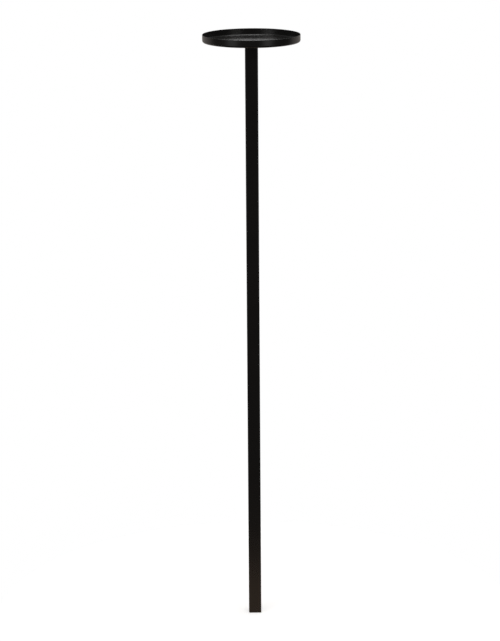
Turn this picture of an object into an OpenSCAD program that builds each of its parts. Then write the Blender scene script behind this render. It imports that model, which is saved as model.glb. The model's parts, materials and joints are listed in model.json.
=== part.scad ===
// Garden torch: a pressed round tray welded to the top of a square tube pole.
// The origin is the centre of the pole's lower end, and +Z runs up the pole.

/* [Overall] */
// Height from the pole's lower end to the top of the tray's rim
overall_height = 940; // [500:10:1500]

/* [Tray] */
// Outside diameter of the tray
tray_diameter = 150; // [100:1:240]
// Height of the tray from its underside to the top of its rim
tray_height = 11.5; // [8:0.5:30]
// Thickness of the tray's sheet steel
tray_sheet = 1; // [0.8:0.1:2]
// Inside radius of the bend between the floor and the rim
tray_bend = 2; // [1:0.5:4]
// Rounding on the two edges of the rim's lip
lip_rounding = 0.3; // [0.1:0.1:0.3]

/* [Pole] */
// Outside width of the square tube
pole_width = 20; // [16:1:40]
// Wall thickness of the tube
pole_wall = 1.5; // [1:0.1:2.5]
// Outside radius of the tube's corners
pole_corner = 2; // [1.5:0.5:4]
// Height of the mill's weld seam that runs down the inside of the tube's back wall
seam_height = 0.4; // [0.2:0.1:0.6]

/* [Neck weld] */
// Leg of the fillet weld between the pole and the tray's underside
weld_leg = 3.5; // [2:0.5:5]

/* [Hidden] */
coat_colour = "#1b1a1a";
$fn = 96;
tray_radius = tray_diameter / 2;
tray_underside = overall_height - tray_height;
bend_outside = tray_bend + tray_sheet;
pole_bore = pole_width - 2 * pole_wall;
bore_corner = max(pole_corner - pole_wall, 0.3);
flat_side = pole_width - 2 * pole_corner;
seam_radius = 2;

// Square with round corners, centred on the origin
module rounded_square(width, radius) {
    square([width, width - 2 * radius], center = true);
    square([width - 2 * radius, width], center = true);
    for (x = [-1, 1], y = [-1, 1])
        translate([x, y] * (width / 2 - radius))
            circle(radius);
}

// Half section of the pan, from the tray's axis out to the rim, with its underside at zero
module tray_section() {
    wall_x = tray_radius - tray_sheet;
    square([tray_radius - bend_outside, tray_sheet]);
    translate([wall_x, bend_outside])
        square([tray_sheet, tray_height - bend_outside - lip_rounding]);
    translate([tray_radius - bend_outside, bend_outside])
        intersection() {
            difference() {
                circle(bend_outside);
                circle(tray_bend);
            }
            translate([0, -bend_outside])
                square(bend_outside);
        }
    translate([wall_x + lip_rounding, tray_height - 2 * lip_rounding])
        square([tray_sheet - 2 * lip_rounding, 2 * lip_rounding]);
    for (x = [wall_x + lip_rounding, tray_radius - lip_rounding])
        translate([x, tray_height - lip_rounding])
            circle(lip_rounding);
}

// Cross section of the tube, with the mill's seam on the inside of its back wall
module pole_section() {
    difference() {
        rounded_square(pole_width, pole_corner);
        rounded_square(pole_bore, bore_corner);
    }
    intersection() {
        translate([0, pole_bore / 2 + seam_radius - seam_height])
            circle(seam_radius);
        square(pole_bore + pole_wall, center = true);
    }
}

// Quarter round of weld metal: the pole is on its left and the tray above it
module weld_section() {
    intersection() {
        circle(weld_leg);
        translate([0, -weld_leg])
            square(weld_leg);
    }
}

// One side of the weld and the corner that follows it
module weld_side() {
    translate([pole_width / 2, flat_side / 2, 0])
        rotate([90, 0, 0])
            linear_extrude(flat_side)
                weld_section();
    translate([flat_side / 2, flat_side / 2, 0])
        rotate_extrude(angle = 90)
            translate([pole_corner, 0])
                weld_section();
}

module candle_tray() {
    color(coat_colour)
        translate([0, 0, tray_underside])
            rotate_extrude()
                tray_section();
}

module pole() {
    color(coat_colour)
        linear_extrude(tray_underside)
            pole_section();
}

module neck_weld() {
    color(coat_colour)
        translate([0, 0, tray_underside])
            for (side = [0:3])
                rotate(90 * side)
                    weld_side();
}

candle_tray();
pole();
neck_weld();
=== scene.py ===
"""Garden torch stake in satin black powder coat: a pressed tray, a square tube pole and their weld."""

import json
import math

import bmesh
import bpy
from mathutils import Matrix, Vector, noise


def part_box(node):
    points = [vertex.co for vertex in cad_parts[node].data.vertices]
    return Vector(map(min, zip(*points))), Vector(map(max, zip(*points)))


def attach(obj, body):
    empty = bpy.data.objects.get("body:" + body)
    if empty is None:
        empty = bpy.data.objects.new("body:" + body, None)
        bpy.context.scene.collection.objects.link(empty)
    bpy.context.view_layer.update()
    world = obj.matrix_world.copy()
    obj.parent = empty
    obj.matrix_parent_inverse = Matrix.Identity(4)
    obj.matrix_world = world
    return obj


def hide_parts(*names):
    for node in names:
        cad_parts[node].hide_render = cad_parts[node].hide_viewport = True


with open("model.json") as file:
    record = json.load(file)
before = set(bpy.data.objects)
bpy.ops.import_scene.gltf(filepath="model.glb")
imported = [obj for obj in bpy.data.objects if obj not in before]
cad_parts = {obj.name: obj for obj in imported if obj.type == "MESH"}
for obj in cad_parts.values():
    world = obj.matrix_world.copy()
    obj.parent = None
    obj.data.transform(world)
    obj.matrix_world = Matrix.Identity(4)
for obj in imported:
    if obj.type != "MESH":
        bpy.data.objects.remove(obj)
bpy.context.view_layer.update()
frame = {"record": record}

BODY = "root"
MM = 0.001

# ---------------------------------------------------------------- sizes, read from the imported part
TRAY_LOW, TRAY_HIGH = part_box("candle_tray")
POLE_LOW, POLE_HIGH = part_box("pole")
WELD_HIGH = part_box("neck_weld")[1]
MOUNTS = {mount["name"]: mount for mount in frame["record"]["mounts"]}

TRAY_RADIUS = TRAY_HIGH.x
TRAY_UNDERSIDE = TRAY_LOW.z
TRAY_FLOOR = MOUNTS["tray_floor"]["pos_m"][2]
TRAY_INSIDE_RADIUS = MOUNTS["tray_recess"]["dims"]["r_mm"] * MM
SHEET = TRAY_FLOOR - TRAY_UNDERSIDE
RIM_TOP = TRAY_HIGH.z
POLE_HALF = POLE_HIGH.x
WELD_LEG = WELD_HIGH.x - POLE_HALF

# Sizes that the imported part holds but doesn't state
TRAY_BEND_INSIDE = 2.0 * MM
LIP_ROUNDING = 0.3 * MM
POLE_WALL = 1.5 * MM
POLE_CORNER = 2.0 * MM
POLE_BORE_CORNER = 0.5 * MM
SEAM_HEIGHT = 0.4 * MM


# ---------------------------------------------------------------- mesh helpers
def arc(centre, radius, start, end, steps):
    """Points on an arc about centre, from one angle to the other, in degrees."""
    angles = [math.radians(start + (end - start) * i / steps) for i in range(steps + 1)]
    return [(centre[0] + radius * math.cos(a), centre[1] + radius * math.sin(a)) for a in angles]


def between(start, end, steps):
    """Points strictly between two points."""
    return [
        (start[0] + (end[0] - start[0]) * i / steps, start[1] + (end[1] - start[1]) * i / steps)
        for i in range(1, steps)
    ]


def skin_rings(bm, rings, closed=False):
    """Joins rings of equally many vertices with quads, and if closed also the last ring with the first."""
    count = len(rings[0])
    pairs = list(zip(rings, rings[1:]))
    if closed:
        pairs.append((rings[-1], rings[0]))
    for near, far in pairs:
        for i in range(count):
            j = (i + 1) % count
            bm.faces.new((near[i], near[j], far[j], far[i]))


def finish_piece(bm, name, replaced_node, material):
    """Turns a bmesh into a smooth-shaded piece that stands for a CAD node."""
    bmesh.ops.recalc_face_normals(bm, faces=bm.faces)
    mesh = bpy.data.meshes.new(name)
    bm.to_mesh(mesh)
    bm.free()
    mesh.shade_smooth()
    piece = bpy.data.objects.new(name, mesh)
    bpy.context.scene.collection.objects.link(piece)
    mesh.materials.append(material)
    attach(piece, BODY)
    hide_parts(replaced_node)


# ---------------------------------------------------------------- node helpers
def new_material(name):
    """A material with one Principled shader: returns the material, its node tree and the shader."""
    material = bpy.data.materials.new(name)
    material.use_nodes = True
    tree = material.node_tree
    return material, tree, tree.nodes["Principled BSDF"]


def add_noise(tree, coordinates, scale, detail):
    """A noise texture of that many features a metre."""
    node = tree.nodes.new("ShaderNodeTexNoise")
    node.inputs["Scale"].default_value = scale
    node.inputs["Detail"].default_value = detail
    node.inputs["Roughness"].default_value = 0.5
    tree.links.new(coordinates, node.inputs["Vector"])
    return node.outputs["Fac"]


def add_ramp(tree, value, ramp, smooth=False):
    """Maps a value from the first range of a ramp to its second, and holds it at the ends of both."""
    (from_start, from_end), (to_start, to_end) = ramp
    node = tree.nodes.new("ShaderNodeMapRange")
    node.interpolation_type = "SMOOTHSTEP" if smooth else "LINEAR"
    node.inputs["From Min"].default_value = from_start
    node.inputs["From Max"].default_value = from_end
    node.inputs["To Min"].default_value = to_start
    node.inputs["To Max"].default_value = to_end
    tree.links.new(value, node.inputs["Value"])
    return node.outputs["Result"]


def add_math(tree, operation, first, second=0.0):
    """One math node. Either input may be a socket or a number."""
    node = tree.nodes.new("ShaderNodeMath")
    node.operation = operation
    for socket, value in zip(node.inputs, (first, second)):
        if isinstance(value, (int, float)):
            socket.default_value = value
        else:
            tree.links.new(value, socket)
    return node.outputs["Value"]


def add_colour_mix(tree, factor, first, second):
    """Mixes two colours. Either may be a socket or a colour."""
    node = tree.nodes.new("ShaderNodeMix")
    node.data_type = "RGBA"
    tree.links.new(factor, node.inputs["Factor"])
    for socket, value in ((node.inputs["A"], first), (node.inputs["B"], second)):
        if isinstance(value, tuple):
            socket.default_value = (*value, 1.0)
        else:
            tree.links.new(value, socket)
    return node.outputs["Result"]


def add_bump(tree, height, distance, below=None):
    """A bump of that depth in metres, on top of another bump if one is given."""
    node = tree.nodes.new("ShaderNodeBump")
    node.inputs["Distance"].default_value = distance
    node.inputs["Strength"].default_value = 0.6
    tree.links.new(height, node.inputs["Height"])
    if below is not None:
        tree.links.new(below, node.inputs["Normal"])
    return node.outputs["Normal"]


def show_to_camera(tree, reflected, seen, surface):
    """Gives a surface one shader for the camera and another for reflections and light."""
    mix = tree.nodes.new("ShaderNodeMixShader")
    tree.links.new(tree.nodes.new("ShaderNodeLightPath").outputs["Is Camera Ray"], mix.inputs["Fac"])
    tree.links.new(reflected, mix.inputs[1])
    tree.links.new(seen, mix.inputs[2])
    tree.links.new(mix.outputs["Shader"], surface)


# ---------------------------------------------------------------- materials
COAT_DARK = (0.0052, 0.0048, 0.0046)
COAT_LIGHT = (0.0095, 0.0086, 0.0079)
COAT_WORN = (0.0300, 0.0280, 0.0260)

# Features a metre of each noise in the coat
MOTTLE = 28.0
SPECKLE = 900.0
WEAR_PATCHES = 420.0
ORANGE_PEEL = 620.0
GRAIN = 2600.0

# Depths of the coat's relief
PEEL_DEPTH = 0.055 * MM
GRAIN_DEPTH = 0.006 * MM

# Ramps from a noise's value to what it changes
MOTTLE_TONE = ((0.3, 0.7), (0.0, 0.6))
SPECKLE_TONE = ((0.3, 0.8), (0.0, 0.4))
MOTTLE_ROUGHNESS = ((0.3, 0.7), (0.24, 0.29))
SPECKLE_ROUGHNESS = ((0.3, 0.7), (-0.02, 0.02))
PATCH_COVER = ((0.50, 0.68), (0.0, 1.0))

# What an edge with full wear adds to the roughness
EDGE_ROUGHNESS = 0.30

# Heights where wear starts and where it is full. The tray wears along its lip and the pole at its cut end.
# The sheltered bead lies below where its wear would start.
TRAY_WEAR = (RIM_TOP - 0.5 * MM, RIM_TOP + 0.1 * MM)
POLE_WEAR = (POLE_LOW.z + 4.0 * MM, POLE_LOW.z - 1.0 * MM)
WELD_WEAR = (TRAY_UNDERSIDE, TRAY_UNDERSIDE + 4.0 * MM)


def powder_coat(name, wear_heights):
    """Satin black powder coat. Wear grows in broken patches from the first height to the second."""
    material, tree, shader = new_material(name)
    place = tree.nodes.new("ShaderNodeTexCoord").outputs["Object"]

    mottle = add_noise(tree, place, MOTTLE, detail=4.0)
    speckle = add_noise(tree, place, SPECKLE, detail=2.0)
    mottle_tone = add_ramp(tree, mottle, MOTTLE_TONE)
    speckle_tone = add_ramp(tree, speckle, SPECKLE_TONE)
    coat = add_colour_mix(tree, add_math(tree, "ADD", mottle_tone, speckle_tone), COAT_DARK, COAT_LIGHT)

    split = tree.nodes.new("ShaderNodeSeparateXYZ")
    tree.links.new(place, split.inputs["Vector"])
    edge = add_ramp(tree, split.outputs["Z"], (wear_heights, (0.0, 1.0)))
    patches = add_ramp(tree, add_noise(tree, place, WEAR_PATCHES, detail=5.0), PATCH_COVER)
    wear = add_math(tree, "MULTIPLY", edge, patches)
    tree.links.new(add_colour_mix(tree, wear, coat, COAT_WORN), shader.inputs["Base Color"])

    satin = add_ramp(tree, mottle, MOTTLE_ROUGHNESS)
    smudged = add_math(tree, "ADD", satin, add_ramp(tree, speckle, SPECKLE_ROUGHNESS))
    rubbed = add_math(tree, "MULTIPLY", edge, EDGE_ROUGHNESS)
    tree.links.new(add_math(tree, "ADD", smudged, rubbed), shader.inputs["Roughness"])

    peel = add_bump(tree, add_noise(tree, place, ORANGE_PEEL, detail=2.0), PEEL_DEPTH)
    grain = add_bump(tree, add_noise(tree, place, GRAIN, detail=1.0), GRAIN_DEPTH, below=peel)
    tree.links.new(grain, shader.inputs["Normal"])
    return material


# ---------------------------------------------------------------- pieces
def tray_profile():
    """Half section of the pan as (radius, height), from its floor over the rim to its underside."""
    floor_steps, bend_steps, wall_steps, lip_steps, outer_bend_steps, under_steps = 16, 12, 4, 5, 14, 10
    hub = 2.0 * MM
    support = 0.4 * MM
    lip_support = 0.3 * MM
    bend_centre = (TRAY_INSIDE_RADIUS - TRAY_BEND_INSIDE, TRAY_FLOOR + TRAY_BEND_INSIDE)
    flat_edge = bend_centre[0] - support
    lip_low = RIM_TOP - LIP_ROUNDING
    inner_lip = (TRAY_INSIDE_RADIUS + LIP_ROUNDING, lip_low)
    outer_lip = (TRAY_RADIUS - LIP_ROUNDING, lip_low)
    floor_start, floor_end = (hub, TRAY_FLOOR), (flat_edge, TRAY_FLOOR)
    under_start, under_end = (flat_edge, TRAY_UNDERSIDE), (hub, TRAY_UNDERSIDE)
    wall_foot = bend_centre[1] + support
    lip_foot = lip_low - lip_support
    inner_foot, inner_head = (TRAY_INSIDE_RADIUS, wall_foot), (TRAY_INSIDE_RADIUS, lip_foot)
    outer_foot, outer_head = (TRAY_RADIUS, wall_foot), (TRAY_RADIUS, lip_foot)
    return [
        floor_start,
        *between(floor_start, floor_end, floor_steps),
        floor_end,
        *arc(bend_centre, TRAY_BEND_INSIDE, -90, 0, bend_steps),
        inner_foot,
        *between(inner_foot, inner_head, wall_steps),
        inner_head,
        *arc(inner_lip, LIP_ROUNDING, 180, 90, lip_steps),
        *arc(outer_lip, LIP_ROUNDING, 90, 0, lip_steps),
        outer_head,
        *between(outer_head, outer_foot, wall_steps),
        outer_foot,
        *arc(bend_centre, TRAY_BEND_INSIDE + SHEET, 0, -90, outer_bend_steps),
        under_start,
        *between(under_start, under_end, under_steps),
        under_end,
    ]


def sheet_waviness(x, y):
    """How far the pressed sheet lies off its true plane, in metres: a few hundredths of a millimetre."""
    swing = 0.05 * MM
    waves_per_metre = 34.0
    noise_layer = 1.7
    return swing * noise.noise(Vector((x * waves_per_metre, y * waves_per_metre, noise_layer)))


def make_tray(material):
    """The pressed pan, spun from its half section, with the slight unevenness of pressed sheet."""
    segments = 256
    bm = bmesh.new()
    rings = []
    for radius, height in tray_profile():
        ring = []
        for i in range(segments):
            angle = 2 * math.pi * i / segments
            x, y = radius * math.cos(angle), radius * math.sin(angle)
            ring.append(bm.verts.new((x, y, height + sheet_waviness(x, y))))
        rings.append(ring)
    skin_rings(bm, rings)
    for ring in (rings[0], rings[-1]):
        middle = sum((vertex.co for vertex in ring), Vector()) / segments
        hub = bm.verts.new(middle)
        for i in range(segments):
            bm.faces.new((ring[i], ring[(i + 1) % segments], hub))
    finish_piece(bm, "tray_pan", "candle_tray", material)


def square_outline(half, corner, side_steps, corner_steps):
    """A square with round corners as a list of points, counter-clockwise."""
    points = []
    inner = half - corner
    for quarter in range(4):
        turn = 90 * quarter
        centre = Matrix.Rotation(math.radians(turn), 2) @ Vector((inner, inner))
        corner_points = arc(centre, corner, turn, turn + 90, corner_steps)
        following = Matrix.Rotation(math.radians(turn + 90), 2) @ Vector((half, inner))
        points += corner_points
        points += between(corner_points[-1], tuple(following), side_steps)
    return points


def make_pole(material):
    """The square tube, with slightly hollow sides, eased cut edges and the mill seam down its inside."""
    corner_steps, side_steps, length_steps = 8, 10, 46
    ease = 0.25 * MM
    hollow = 0.04 * MM
    hollow_share = 0.75
    seam_half_width = 1.2 * MM
    support = 0.5 * MM
    bore_half = POLE_HALF - POLE_WALL
    back_wall_share = 0.9
    outside = square_outline(POLE_HALF, POLE_CORNER, side_steps, corner_steps)
    inside = square_outline(bore_half, POLE_BORE_CORNER, side_steps, corner_steps)

    def pulled_in(point):
        """Moves a point of a flat side inwards, most at the middle of the side."""
        x, y = point
        across = y if abs(x) > abs(y) else x
        amount = hollow * max(0.0, 1 - (across / (POLE_HALF * hollow_share)) ** 2)
        return (x - math.copysign(amount, x), y) if abs(x) > abs(y) else (x, y - math.copysign(amount, y))

    def seam_pushed(point):
        """Raises the mill seam on the inside of the back wall."""
        x, y = point
        if y < bore_half * back_wall_share or abs(x) > seam_half_width:
            return point
        return (x, y - SEAM_HEIGHT * (1 - (x / seam_half_width) ** 2))

    def shrunk(points, half, amount):
        """The same outline, smaller or larger by an amount."""
        scale = (half - amount) / half
        return [(x * scale, y * scale) for x, y in points]

    bm = bmesh.new()

    def ring(points, height):
        """The vertices of an outline at a height."""
        return [bm.verts.new((x, y, height)) for x, y in points]

    outer = [pulled_in(point) for point in outside]
    inner = [seam_pushed(point) for point in inside]
    lowest, highest = POLE_LOW.z + ease, POLE_HIGH.z - ease
    spacing = (highest - lowest - 2 * support) / length_steps
    heights = [lowest]
    heights += [lowest + support + spacing * i for i in range(length_steps + 1)]
    heights.append(highest)
    rings = [ring(outer, height) for height in heights]
    rings.append(ring(shrunk(outer, POLE_HALF, ease), POLE_HIGH.z))
    rings.append(ring(shrunk(inner, bore_half, -ease), POLE_HIGH.z))
    rings += [ring(inner, height) for height in reversed(heights)]
    rings.append(ring(shrunk(inner, bore_half, -ease), POLE_LOW.z))
    rings.append(ring(shrunk(outer, POLE_HALF, ease), POLE_LOW.z))
    skin_rings(bm, rings, closed=True)
    finish_piece(bm, "pole_tube", "pole", material)


def make_weld(material):
    """The fillet weld round the neck, with the ripples that a hand-held torch leaves."""
    samples = 560
    section_steps = 12
    corner_steps = 24
    ripple_pitch = 1.45 * MM
    ripple_depth = 0.16 * MM
    ripple_sharpness = 0.6
    crescent_lag = 0.55
    unevenness = 0.10
    uneven_spread = 2.2
    noise_layer = 5.0
    buried = 0.5 * MM
    bead_share = 0.86
    flatness = 0.16
    low_share, wide_share = 0.9, 0.7
    tolerance = 1e-12
    path = square_outline(POLE_HALF, POLE_CORNER, 1, corner_steps)
    lengths = [0.0]
    for start, end in zip(path, path[1:] + path[:1]):
        lengths.append(lengths[-1] + math.dist(start, end))
    total = lengths[-1]
    ripples = round(total / ripple_pitch)

    def on_path(distance):
        """The point at a distance along the path, and the direction straight out from the pole there."""
        index = max(i for i, length in enumerate(lengths[:-1]) if length <= distance + tolerance)
        start, end = Vector(path[index]), Vector(path[(index + 1) % len(path)])
        share = (distance - lengths[index]) / (lengths[index + 1] - lengths[index])
        point = start.lerp(end, share)
        inner = POLE_HALF - POLE_CORNER
        core = Vector((max(-inner, min(inner, point.x)), max(-inner, min(inner, point.y))))
        return point, (point - core).normalized()

    def bead_section(swell, ripple_phase):
        """The bead's section as (out from the pole, up from the tray's underside), partly inside both."""
        section = [(-buried, buried), (-buried, -WELD_LEG * low_share)]
        for step in range(section_steps + 1):
            across = step / section_steps
            angle = math.radians(90 * across)
            crescent = crescent_lag * (1 - (2 * across - 1) ** 2)
            phase = (ripple_phase + crescent) % 1.0
            fullness = math.sin(math.pi * across)
            ripple = ripple_depth * (1 - abs(2 * phase - 1)) ** ripple_sharpness * fullness
            reach = WELD_LEG * bead_share * swell * (1 - flatness * fullness) + ripple
            section.append((reach * math.sin(angle), -reach * math.cos(angle)))
        section.append((WELD_LEG * wide_share, buried))
        return section

    bm = bmesh.new()
    rings = []
    for sample in range(samples):
        point, outward = on_path(total * sample / samples)
        turn = 2 * math.pi * sample / samples
        place = Vector((uneven_spread * math.cos(turn), uneven_spread * math.sin(turn), noise_layer))
        section = bead_section(1 + unevenness * noise.noise(place), ripples * sample / samples)
        rings.append([
            bm.verts.new((point.x + outward.x * out, point.y + outward.y * out, TRAY_UNDERSIDE + up))
            for out, up in section
        ])
    skin_rings(bm, rings, closed=True)
    finish_piece(bm, "weld_bead", "neck_weld", material)


make_tray(powder_coat("tray_coat", TRAY_WEAR))
make_pole(powder_coat("pole_coat", POLE_WEAR))
make_weld(powder_coat("weld_coat", WELD_WEAR))


# ---------------------------------------------------------------- floor
FLOOR_RADIUS = 0.42
FLOOR_DROP = 0.2 * MM
FLOOR_COLOUR = (0.92, 0.91, 0.90, 1.0)
FLOOR_GLOW = (1.0, 0.99, 0.98, 1.0)

# Painted light that only reflections see in the floor: a warm glow pooled by the foot, fading to the
# dimness of the room further out
WARM_FLOOR_GLOW = (0.500, 0.365, 0.270)
DIM_FLOOR_GLOW = (0.115, 0.105, 0.096)
WARM_GLOW_POOL = ((0.10, 0.38), (1.0, 0.0))


def make_floor():
    """A plain pale disc for the stake to stand on, a hair below its cut end so that they don't touch."""
    bm = bmesh.new()
    bmesh.ops.create_circle(bm, cap_ends=True, segments=128, radius=FLOOR_RADIUS)
    mesh = bpy.data.meshes.new("floor")
    bm.to_mesh(mesh)
    bm.free()
    floor = bpy.data.objects.new("floor", mesh)
    floor.location.z = POLE_LOW.z - FLOOR_DROP
    bpy.context.scene.collection.objects.link(floor)
    material, tree, shader = new_material("floor_paper")
    shader.inputs["Roughness"].default_value = 0.9
    shader.inputs["Base Color"].default_value = FLOOR_COLOUR
    shader.inputs["Emission Color"].default_value = FLOOR_GLOW
    shader.inputs["Emission Strength"].default_value = 0.56
    away = tree.nodes.new("ShaderNodeVectorMath")
    away.operation = "LENGTH"
    tree.links.new(tree.nodes.new("ShaderNodeTexCoord").outputs["Object"], away.inputs[0])
    near = add_ramp(tree, away.outputs["Value"], WARM_GLOW_POOL, smooth=True)
    # Reflections see the floor as a painted glow: emitted warm light pooled round the foot, dim further
    # out
    bounce = tree.nodes.new("ShaderNodeEmission")
    tree.links.new(add_colour_mix(tree, near, DIM_FLOOR_GLOW, WARM_FLOOR_GLOW), bounce.inputs["Color"])
    surface = tree.nodes["Material Output"].inputs["Surface"]
    show_to_camera(tree, bounce.outputs["Emission"], shader.outputs["BSDF"], surface)
    mesh.materials.append(material)


# ---------------------------------------------------------------- the room that reflections see
# Each ramp goes from a part of a direction's unit vector (X right, Y to the back, Z up) to a strength.
BACKDROP_BEHIND = ((0.12, 0.45), (0.0, 1.0))
BACKDROP_MIDDLE = ((0.20, 0.50), (1.0, 0.0))
BACKDROP_RISE = ((0.11, 0.23), (0.0, 0.72))
BACKDROP_TOP = ((0.20, 0.36), (1.0, 0.05))
BACKDROP_BASE = 0.36
FRONT_LOW = ((-0.20, -0.08), (0.108, 0.054))
FRONT_HIGH = ((0.0, 0.30), (0.0, 0.16))
GROUND_DIMMING = ((-0.56, -0.36), (0.25, 1.0))
LOW_WARMTH = ((-0.05, 0.20), (1.0, 0.0))
HIGH_TINT = (1.0, 1.0, 1.0)
LOW_TINT = (1.0, 0.92, 0.86)


def make_world():
    """A studio that the camera sees white. Reflections see it dim, with a bright backdrop at the back."""
    world = bpy.data.worlds.new("studio")
    bpy.context.scene.world = world
    world.use_nodes = True
    tree = world.node_tree
    tree.nodes.clear()
    split = tree.nodes.new("ShaderNodeSeparateXYZ")
    tree.links.new(tree.nodes.new("ShaderNodeTexCoord").outputs["Generated"], split.inputs["Vector"])
    sideways = add_math(tree, "ABSOLUTE", split.outputs["X"])
    back, up = split.outputs["Y"], split.outputs["Z"]

    def fade(part, ramp):
        """A strength that changes smoothly with one part of the direction."""
        return add_ramp(tree, part, ramp, smooth=True)

    middle = add_math(tree, "MULTIPLY", fade(up, BACKDROP_RISE), fade(sideways, BACKDROP_MIDDLE))
    backdrop = add_math(tree, "ADD", middle, BACKDROP_BASE)
    backdrop = add_math(tree, "MULTIPLY", backdrop, fade(up, BACKDROP_TOP))
    backdrop = add_math(tree, "MULTIPLY", backdrop, fade(back, BACKDROP_BEHIND))
    front = add_math(tree, "MULTIPLY", fade(up, FRONT_LOW), fade(up, GROUND_DIMMING))
    front = add_math(tree, "ADD", front, fade(up, FRONT_HIGH))
    room = tree.nodes.new("ShaderNodeBackground")
    tint = add_colour_mix(tree, fade(up, LOW_WARMTH), HIGH_TINT, LOW_TINT)
    tree.links.new(tint, room.inputs["Color"])
    tree.links.new(add_math(tree, "ADD", backdrop, front), room.inputs["Strength"])
    seen = tree.nodes.new("ShaderNodeBackground")
    seen.inputs["Color"].default_value = (1, 1, 1, 1)
    output = tree.nodes.new("ShaderNodeOutputWorld")
    show_to_camera(tree, room.outputs["Background"], seen.outputs["Background"], output.inputs["Surface"])


# ---------------------------------------------------------------- lights and camera
def make_softbox(
    name, azimuth, distance, height, size, power, target_height,
    core=0.0, foot_share=1.0, rise=(0.15, 0.65),
):
    """An area light, of that width and height in metres, that faces a point on the stake's axis.

    Its azimuth is in degrees from straight in front, positive to the right.
    It is evenly bright for core of its width on either side of its middle, and fades on to its sides.
    Its foot gives foot_share of its head's light, and the light changes between the two shares of its
    height in rise.
    """
    light = bpy.data.lights.new(name, "AREA")
    light.shape = "RECTANGLE"
    light.size, light.size_y = size
    light.energy = power
    light.use_nodes = True
    tree = light.node_tree
    split = tree.nodes.new("ShaderNodeSeparateXYZ")
    tree.links.new(tree.nodes.new("ShaderNodeNewGeometry").outputs["Parametric"], split.inputs["Vector"])
    off_centre = add_math(tree, "ABSOLUTE", add_math(tree, "SUBTRACT", split.outputs["X"], 0.5))
    across = add_ramp(tree, off_centre, ((core, 0.5), (1.0, 0.0)), smooth=True)
    upward = add_ramp(tree, split.outputs["Y"], (rise, (foot_share, 1.0)), smooth=True)
    tree.links.new(add_math(tree, "MULTIPLY", across, upward), tree.nodes["Emission"].inputs["Strength"])
    lamp = bpy.data.objects.new(name, light)
    angle = math.radians(azimuth)
    lamp.location = (distance * math.sin(angle), -distance * math.cos(angle), height)
    look = Vector((0, 0, target_height)) - lamp.location
    lamp.rotation_euler = look.to_track_quat("-Z", "Y").to_euler()
    lamp.visible_camera = False
    bpy.context.scene.collection.objects.link(lamp)


def make_camera():
    """A long lens that looks down at the stake from in front, rolled by a fraction of a degree."""
    distance, height, aim_height, aim_side = 3.287, 1.356, 0.4895, -0.0051
    roll = math.radians(-0.41)
    camera_data = bpy.data.cameras.new("camera")
    camera_data.lens = 121.2
    camera_data.sensor_width = 36.0
    camera = bpy.data.objects.new("camera", camera_data)
    camera.location = (0, -distance, height)
    look = Vector((aim_side, 0, aim_height)) - camera.location
    turn = look.to_track_quat("-Z", "Y").to_matrix() @ Matrix.Rotation(roll, 3, "Z")
    camera.rotation_euler = turn.to_euler()
    bpy.context.scene.collection.objects.link(camera)
    bpy.context.scene.camera = camera


make_floor()
make_world()
make_softbox("left_softbox", azimuth=-44, distance=1.5, height=1.0, size=(1.10, 1.6), power=12.6,
             target_height=1.0, foot_share=0.19, rise=(0.36, 0.62))
make_softbox("right_softbox", azimuth=37.5, distance=1.9, height=1.0, size=(1.25, 1.8), power=9.3,
             target_height=1.0, foot_share=0.25)
make_softbox("overhead_softbox", azimuth=30, distance=0.15, height=2.3, size=(1.9, 0.9), power=23,
             target_height=0.0, core=0.25)
make_camera()

view = bpy.context.scene.view_settings
view.view_transform = "Standard"
view.look = "None"

bpy.context.view_layer.update()
